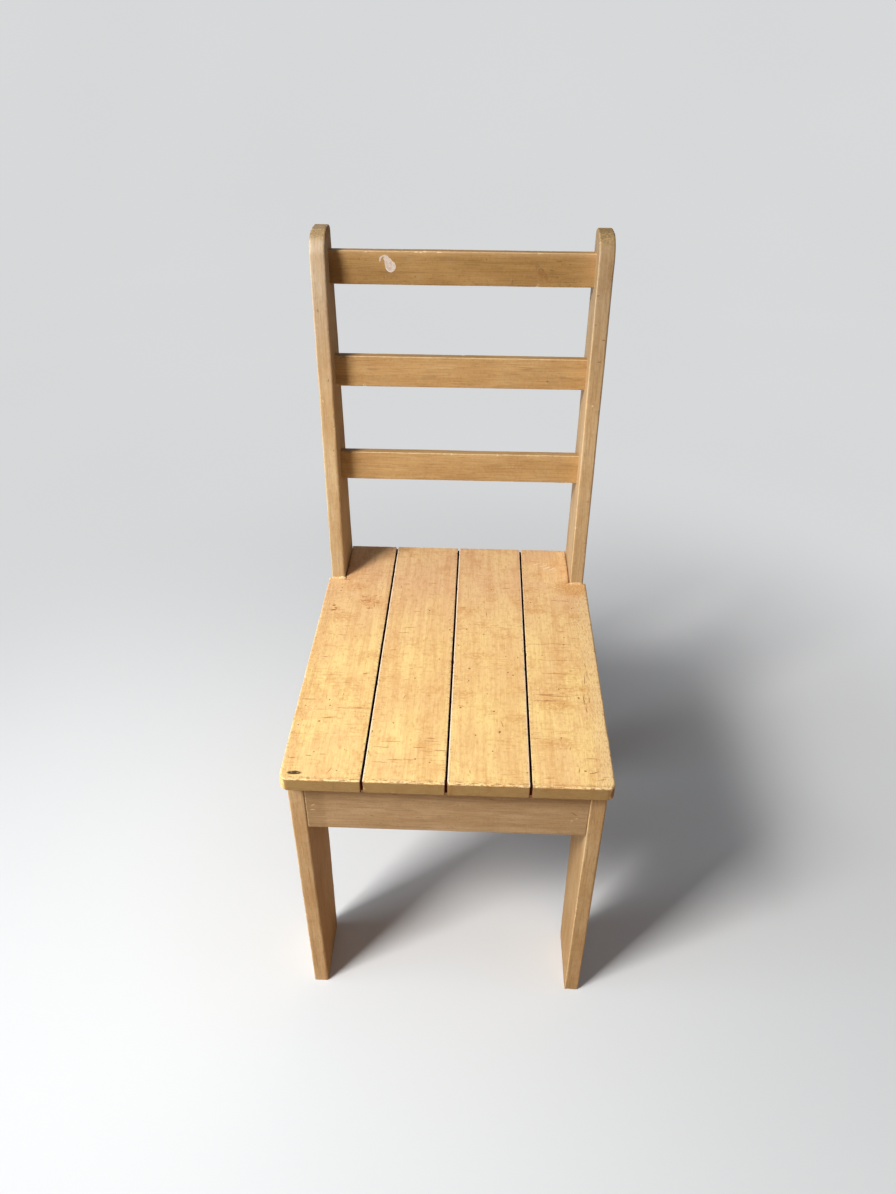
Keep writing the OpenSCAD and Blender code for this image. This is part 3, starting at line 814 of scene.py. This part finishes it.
for i, node in enumerate(SEAT_BOARDS):
    low, high = box_mm(node)
    size = high - low
    side = {0: LEFT, 3: RIGHT}.get(i, 0)
    notch_at = POST_FRONT - NOTCH_SIDE - low[1]
    narrow = INNER - NOTCH_SIDE
    notch_lines = [notch_at - 0.15, notch_at + 0.15] if side else []

    def place_board(points, low=low, high=high, side=side, notch_at=notch_at, narrow=narrow,
                    width=size[0]):
        a, b, t = points.T
        x = low[0] + a
        if side:
            near, far = (low[0], high[0]) if side == RIGHT else (-high[0], -low[0])
            x = side * stretched(a, width, near, np.where(b < notch_at, far, narrow), 6.0)
        return np.stack([x, low[1] + b, low[2] + t], axis=1)

    joint, front, outer = 1.0, 2.2, 3.0
    outer_corner = 10.0 if side else 1.4
    plank(
        node + "_wood", node, size,
        (lines(size[0], 4, 4, 0.5, 1.8), lines(size[1], 11, 5, 0.7, 2.4, notch_lines),
         lines(size[2], 3.5, 3.5, 0.5, 2.2)),
        (1.4, outer_corner, 1.4, 1.4), (joint, outer if side else joint, front, 1.0),
        place_board, seat_finish(i, low[0], high[0]), "seat_paint", under=0.35, seed=11 + 7 * i,
        nicks=46,
    )

# ---- back posts ------------------------------------------------------------------------------

post_size = np.array([POST_HIGH[1] - POST_LOW[1], POST_HIGH[2], POST_HIGH[0] - POST_LOW[0]])

for side, node in ((LEFT, "back_post_left"), (RIGHT, "back_post_right")):

    def place_post(points, side=side):
        a, b, t = points.T
        shift = np.clip(b - SEAT_HEIGHT, 0, None) * math.tan(LEAN)
        y = stretched(a, post_size[0], POST_FRONT + shift, POST_HIGH[1], 24.0)
        return np.stack([side * (INNER + t), y, b], axis=1)

    plank(
        node + "_wood", node, post_size,
        (lines(post_size[0], 31, 11, 1.6, 4), lines(post_size[1], 4, 31, 1.3, 3.2, [SEAT_HEIGHT]),
         lines(post_size[2], 3.6, 3.6, 0.6, 1.8)),
        (2.0, 2.0, POST_HEEL, POST_NOSE), (3.0, 3.0, 1.5, 3.0),
        place_post, post_paint[side], "frame_paint", seed=41 + side, nicks=40,
    )

# ---- slats -----------------------------------------------------------------------------------

for i, node in enumerate(SLATS):
    low, high = box_mm(node)
    slat_z = low[2] + SLAT_THICK * math.sin(LEAN)
    slat_y = post_front(slat_z) + SLAT_SETBACK
    size = np.array([high[0] - low[0], SLAT_HEIGHT, SLAT_THICK])

    def place_slat(points, low=low, slat_y=slat_y, slat_z=slat_z):
        a, b, t = points.T
        y = slat_y + t * math.cos(LEAN) + b * math.sin(LEAN)
        z = slat_z - t * math.sin(LEAN) + b * math.cos(LEAN)
        return np.stack([low[0] + a, y, z], axis=1)

    plank(
        node + "_wood", node, size,
        (lines(size[0], 2.4, 2.4, 1.2, 2.6), lines(size[1], 3, 3, 0.5, 1.8),
         lines(size[2], 3, 3, 0.5, 1.6)),
        (2.2, 2.2, 2.2, 2.2), (2.0, 2.0, 2.0, 2.0),
        place_slat, top_slat_paint if i == 2 else slat_paint, "frame_paint",
        seed=61 + i, nicks=16, grain_axis=0,
    )

# ---- front legs ------------------------------------------------------------------------------

leg_low, leg_high = box_mm("front_leg_right")
leg_size = np.array([leg_high[1] - leg_low[1], leg_high[2], leg_high[0] - leg_low[0]])

for side, node in ((LEFT, "front_leg_left"), (RIGHT, "front_leg_right")):

    def place_leg(points, side=side):
        a, b, t = points.T
        depth = LEG_FOOT_DEPTH + (leg_size[0] - LEG_FOOT_DEPTH) * b / leg_size[1]
        y = stretched(a, leg_size[0], leg_low[1], leg_low[1] + depth, 10.0)
        return np.stack([side * (leg_low[0] + t), y, b], axis=1)

    plank(
        node + "_wood", node, leg_size,
        (lines(leg_size[0], 4, 4, 0.8, 3.2), lines(leg_size[1], 4, 4, 0.8, 3.2),
         lines(leg_size[2], 3.6, 3.6, 0.6, 1.8)),
        (2.0, 2.0, 2.0, 2.0), (2.5, 2.5, 1.5, 0.8),
        place_leg, leg_paint[side], "frame_paint", seed=71 + side, nicks=30,
    )

# ---- rails -----------------------------------------------------------------------------------

for i, node in enumerate(("front_apron", "rear_rail")):
    low, high = box_mm(node)
    size = np.array([high[0] - low[0], high[2] - low[2], high[1] - low[1]])

    def place_rail(points, low=low):
        a, b, t = points.T
        return np.stack([low[0] + a, low[1] + t, low[2] + b], axis=1)

    plank(
        node + "_wood", node, size,
        (lines(size[0], 2, 2, 1, 3), lines(size[1], 3, 2, 0.5, 2.6),
         lines(size[2], 2.5, 2.5, 0.5, 2.5)),
        (0.8, 0.8, 0.8, 0.8), (0.6, 0.6, 1.5, 0.5),
        place_rail, rail_paint, "frame_paint", seed=81 + i, nicks=14, grain_axis=0,
    )

for i, (side, node) in enumerate(((LEFT, "side_rail_left"), (RIGHT, "side_rail_right"))):
    low, high = box_mm(node)
    size = np.array([high[1] - low[1], high[2] - low[2], high[0] - low[0]])

    def place_side_rail(points, low=low):
        a, b, t = points.T
        return np.stack([low[0] + t, low[1] + a, low[2] + b], axis=1)

    plank(
        node + "_wood", node, size,
        (lines(size[0], 2, 2, 1, 3.4), lines(size[1], 3, 2, 0.5, 3),
         lines(size[2], 2.5, 2.5, 0.5, 2.5)),
        (0.8, 0.8, 0.8, 0.8), (0.6, 0.6, 1.5, 0.5),
        place_side_rail, rail_paint, "frame_paint", seed=91 + i, nicks=10, grain_axis=0,
    )

# ---- filler over the screws and at the posts' feet -------------------------------------------


def disc(a, b):
    """Turns a square grid from -1 to 1 into a round one."""
    long = np.maximum(abs(a), abs(b))
    turn = math.pi / 4 * np.minimum(abs(a), abs(b)) / np.maximum(long, 1e-9)
    far, near = long * np.cos(turn), long * np.sin(turn)
    return (np.sign(a) * np.where(abs(a) > abs(b), far, near),
            np.sign(b) * np.where(abs(a) > abs(b), near, far), long)


def plug(centre, facing, seed):
    """Filler over one sunk screw: a disc, a little proud, on a face that looks along X."""
    grid = np.linspace(-1, 1, 15)
    points, quads = shell(grid, grid, np.array([0.0, 1.0]))
    u, v, out = disc(points[:, 0], points[:, 1])
    rough = 1 + 0.05 * bumps(np.stack([u, v, u * 0], axis=1) * 5, 3.0, seed)
    proud = 0.25 * (1 - out**4) + 0.05 * bumps(points * 5, 2.5, seed + 1) + 0.02
    depth = np.where(points[:, 2] > 0.5, proud, -2.5)
    around = np.stack([facing * depth, u * PLUG_RADIUS * rough, v * PLUG_RADIUS * rough], axis=1)
    return np.asarray(centre) + around, quads[:, ::facing]


def joined(parts):
    """One set of points and quads from several."""
    points, quads, count = [], [], 0
    for part_points, part_quads in parts:
        points.append(part_points)
        quads.append(part_quads + count)
        count += len(part_points)
    return np.concatenate(points), np.concatenate(quads)


rail_low, rail_high = box_mm("side_rail_right")
leg_screw_y = (box_mm("front_apron")[1][1] + leg_low[1] + LEG_FOOT_DEPTH) / 2
post_screw_y = (POST_FRONT + box_mm("rear_rail")[0][1]) / 2
screw_spots = []
for row in SCREW_ROWS:
    height = rail_low[2] + row * (rail_high[2] - rail_low[2])
    screw_spots += [(leg_high[0], leg_screw_y, height), (POST_HIGH[0], post_screw_y, height)]
for low_z in (box_mm(node)[0][2] + SLAT_THICK * math.sin(LEAN) for node in SLATS):
    y = post_front(low_z) + SLAT_SETBACK
    y += SLAT_THICK / 2 * math.cos(LEAN) + SLAT_HEIGHT / 2 * math.sin(LEAN)
    height = low_z - SLAT_THICK / 2 * math.sin(LEAN) + SLAT_HEIGHT / 2 * math.cos(LEAN)
    screw_spots.append((POST_HIGH[0], y, height))
plugs = joined([
    plug((side * x, y, z), side, 130 + n)
    for side in (LEFT, RIGHT) for n, (x, y, z) in enumerate(screw_spots)
])
piece_of("plugs_of_filler", *plugs, plug_filler, "wood_filler", ("screw_plugs",))


def bead(name, start, end, width, height, seed, lump=0.0):
    """An uneven line of old filler along a joint. lump swells its far end."""
    start, end = np.asarray(start), np.asarray(end)
    grid = np.linspace(-1, 1, 9)
    points, quads = shell(np.linspace(0, 1, 60), grid, grid)
    share = points[:, 0]
    u, v, _ = disc(points[:, 1], points[:, 2])
    taper = np.clip(1 - abs(2 * share - 1) ** 7, 0.05, 1) ** 0.5
    swell = taper * (1 + lump * ease(share, 0.55, 0.8))
    middle = start + share[:, None] * (end - start)
    placed = middle + np.stack([u * 0, u * width * swell, v * height * swell], axis=1)
    middle = middle + 0.5 * np.stack([u * 0, u, v], axis=1)
    swell = 1 + 0.42 * bumps(placed, 2.6, seed) + 0.2 * bumps(placed, 1.1, seed + 1)
    placed = middle + (placed - middle) * swell[:, None]
    return piece_of(name, placed, quads, filler, "wood_filler")


foot_y = POST_FRONT - 1.0
bead("left_post_filler", (-POST_HIGH[0] + 0.5, foot_y, SEAT_HEIGHT),
     (-INNER + 2.0, foot_y, SEAT_HEIGHT), 2.2, 1.5, 151, lump=1.0)
bead("right_post_filler", (INNER - 0.5, foot_y, SEAT_HEIGHT),
     (POST_HIGH[0] - 1.0, foot_y, SEAT_HEIGHT), 2.1, 1.5, 155)


# ---- painted shade in the joints, a dark fill: half width, depth, how far below the top and short of the ends, in mm --

GAP_FILL_HALF, GAP_FILL_DEPTH, GAP_FILL_BELOW, GAP_FILL_SHORT = 1.3, 15.5, 2.7, 3.0


def painted_gap_shade_finish():
    """A dark fill in the joints of the seat: painted shade, less dark near the front."""
    f = Finish("joint_dirt_dark")
    lumps = f.noise(f.spot, (3, 8, 3), 4, 0.65)
    colour = f.blend(lumps.step(0.35, 0.65), tint("#140601"), tint("#2a1004"))
    colour = f.blend(f.y.step(FRONT + 13.5, FRONT + 3.5), colour, tint("#5a2a12"))
    f.shader.inputs["Specular IOR Level"].default_value = 0.0
    return f.done(colour, 1.0, lumps, 0.6, 0.4)


gap_shade_fill = painted_gap_shade_finish()
# a dark sheet in each joint, a little below the top: painted shade that hides the floor below
for i, joint in enumerate(JOINTS):
    across = np.linspace(-GAP_FILL_HALF, GAP_FILL_HALF, 5)
    along = np.linspace(FRONT + GAP_FILL_SHORT, SEAT_HIGH[1] - GAP_FILL_SHORT, 320)
    points, quads = shell(across, along, np.linspace(0.0, GAP_FILL_DEPTH, 6))
    sunk = 0.6 * bumps(points, (3, 16, 3), 171 + i) + 0.25 * bumps(points, (2, 3, 3), 181 + i)
    points = points + (joint, 0, SEAT_HEIGHT - GAP_FILL_BELOW - GAP_FILL_DEPTH)
    points[:, 2] += sunk
    piece_of(f"joint_dirt_{i + 1}", points, quads, gap_shade_fill, "wood_filler")

# ---- carried-over CAD pieces -----------------------------------------------------------------

for node, finish in (
    ("front_cleat", bare_wood), ("rear_cleat", bare_wood), ("seat_screws", steel),
    ("leg_screws", steel), ("post_screws", steel), ("slat_screws", steel),
    ("apron_nails", steel), ("rear_rail_nails", steel),
):
    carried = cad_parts[node]
    carried.data.materials.clear()
    carried.data.materials.append(finish)

# ---- floor and backdrop ----------------------------------------------------------------------


def sweep():
    """A floor that curves up into a backdrop far behind the chair. The camera sees it pale. Other
    rays find it brown, apart from a pale part behind and to the left of the chair."""
    front, bend, turn_y, top, half, steps = -7.0, 1.2, 3.2, 6.0, 9.0, 24
    profile = [(front, 0.0), (0.0, 0.0), (turn_y, 0.0)]
    for step in range(1, steps + 1):
        angle = math.pi / 2 * step / steps
        profile.append((turn_y + bend * math.sin(angle), bend - bend * math.cos(angle)))
    profile.append((turn_y + bend, top))
    points = [(x, y, z) for y, z in profile for x in (-half, half)]
    faces = [(2 * i, 2 * i + 1, 2 * i + 3, 2 * i + 2) for i in range(len(profile) - 1)]
    mesh = bpy.data.meshes.new("studio_floor")
    mesh.from_pydata(points, [], faces)
    mesh.polygons.foreach_set("use_smooth", [True] * len(faces))
    floor = bpy.data.objects.new("studio_floor", mesh)
    bpy.context.scene.collection.objects.link(floor)
    f = Finish("studio_paper")
    seen = f.node("ShaderNodeLightPath", out="Is Camera Ray")
    clouds = f.noise(f.spot, (900, 900, 900), 2, 0.5)
    pale = f.blend(clouds, tint("#dadbdc"), tint("#dedfe0"))
    # painted light for other rays: the pale patch behind and to the left stands in for a brightly lit
    # wall
    bright = f.x.step(0, -500) * f.y.step(-300, 100)
    bounce = f.blend(bright, tint("#b8906a"), tint("#dde0e4"))
    mesh.materials.append(f.done(f.blend(seen, bounce, pale), 0.9))
    away = f.node("ShaderNodeVectorMath", {"operation": "LENGTH"},
                  {0: f.scaled(f.spot, (1, 1, 0.6))}, out="Value")
    glow = f.node("ShaderNodeEmission", None, {"Color": pale, "Strength": 0.95})
    paper = f.node("ShaderNodeMixShader", None, {
        0: seen * away.step(400, 1500), 1: Value(f, f.shader.outputs[0]), 2: glow})
    below = f.node("ShaderNodeNewGeometry", out="Backfacing")
    clear = f.node("ShaderNodeBsdfTransparent")
    sheet = f.node("ShaderNodeMixShader", None, {0: seen * below, 1: paper, 2: clear})
    surface = f.tree.nodes["Material Output"].inputs["Surface"]
    f.tree.links.new(sheet.socket, surface)


sweep()

# ---- light -----------------------------------------------------------------------------------


def soft_box(name, place, aim, side, power, warmth):
    """A square lamp of a side in m and a power in W, turned from its place towards aim."""
    light = bpy.data.lights.new(name, "AREA")
    light.shape = "SQUARE"
    light.size = side
    light.energy = power
    light.color = warmth
    lamp = bpy.data.objects.new(name, light)
    bpy.context.scene.collection.objects.link(lamp)
    lamp.location = place
    lamp.rotation_mode = "QUATERNION"
    lamp.rotation_quaternion = (Vector(place) - Vector(aim)).to_track_quat("Z", "Y")


soft_box("window_light", place=(-1.77, -1.5, 2.65), aim=(0, 0, 0.45), side=0.85, power=126,
         warmth=(1.0, 0.985, 0.96))
soft_box("side_fill", place=(-2.6, -0.9, 1.0), aim=(0, 0, 0.6), side=1.6, power=42,
         warmth=(0.78, 0.91, 1.0))
soft_box("far_fill", place=(2.5, -0.3, 1.5), aim=(0, 0, 0.6), side=1.8, power=7.5,
         warmth=(0.86, 0.93, 1.0))


def air():
    """Dim light from all round, which the camera sees as a pale backdrop."""
    world = bpy.data.worlds.new("studio_air")
    bpy.context.scene.world = world
    world.use_nodes = True
    nodes, links = world.node_tree.nodes, world.node_tree.links
    dim, pale = nodes["Background"], nodes.new("ShaderNodeBackground")
    dim.inputs["Color"].default_value = tint("#d9dbe0")
    dim.inputs["Strength"].default_value = 0.19
    pale.inputs["Color"].default_value = tint("#dcdddf")
    pale.inputs["Strength"].default_value = 0.95
    seen, both = nodes.new("ShaderNodeLightPath"), nodes.new("ShaderNodeMixShader")
    links.new(seen.outputs["Is Camera Ray"], both.inputs[0])
    links.new(dim.outputs[0], both.inputs[1])
    links.new(pale.outputs[0], both.inputs[2])
    links.new(both.outputs[0], nodes["World Output"].inputs["Surface"])


air()

# ---- camera: place and lens in mm, turns in degrees ------------------------------------------

CAMERA_PLACE = (28, -986, 1246)
CAMERA_YAW, CAMERA_PITCH, CAMERA_ROLL = -2.09, 35.74, -0.23
LENS, SENSOR_HEIGHT = 27.05, 36


def front_camera():
    """A camera in front of the chair that looks down on it."""
    yaw, pitch, roll = map(math.radians, (CAMERA_YAW, CAMERA_PITCH, CAMERA_ROLL))
    reach = math.cos(pitch)
    ahead = Vector((math.sin(yaw) * reach, math.cos(yaw) * reach, -math.sin(pitch)))
    across = Vector((math.cos(yaw), -math.sin(yaw), 0))
    down = ahead.cross(across)
    level_x = math.cos(roll) * across + math.sin(roll) * down
    level_y = -math.sin(roll) * across + math.cos(roll) * down
    lens = bpy.data.cameras.new("front_camera")
    lens.sensor_fit = "VERTICAL"
    lens.sensor_height = SENSOR_HEIGHT
    lens.lens = LENS
    camera = bpy.data.objects.new("front_camera", lens)
    bpy.context.scene.collection.objects.link(camera)
    turned = Matrix((level_x, -level_y, -ahead)).transposed().to_4x4()
    camera.matrix_world = Matrix.Translation(Vector(CAMERA_PLACE) * MM) @ turned
    bpy.context.scene.camera = camera


front_camera()
bpy.context.scene.view_settings.view_transform = "Standard"
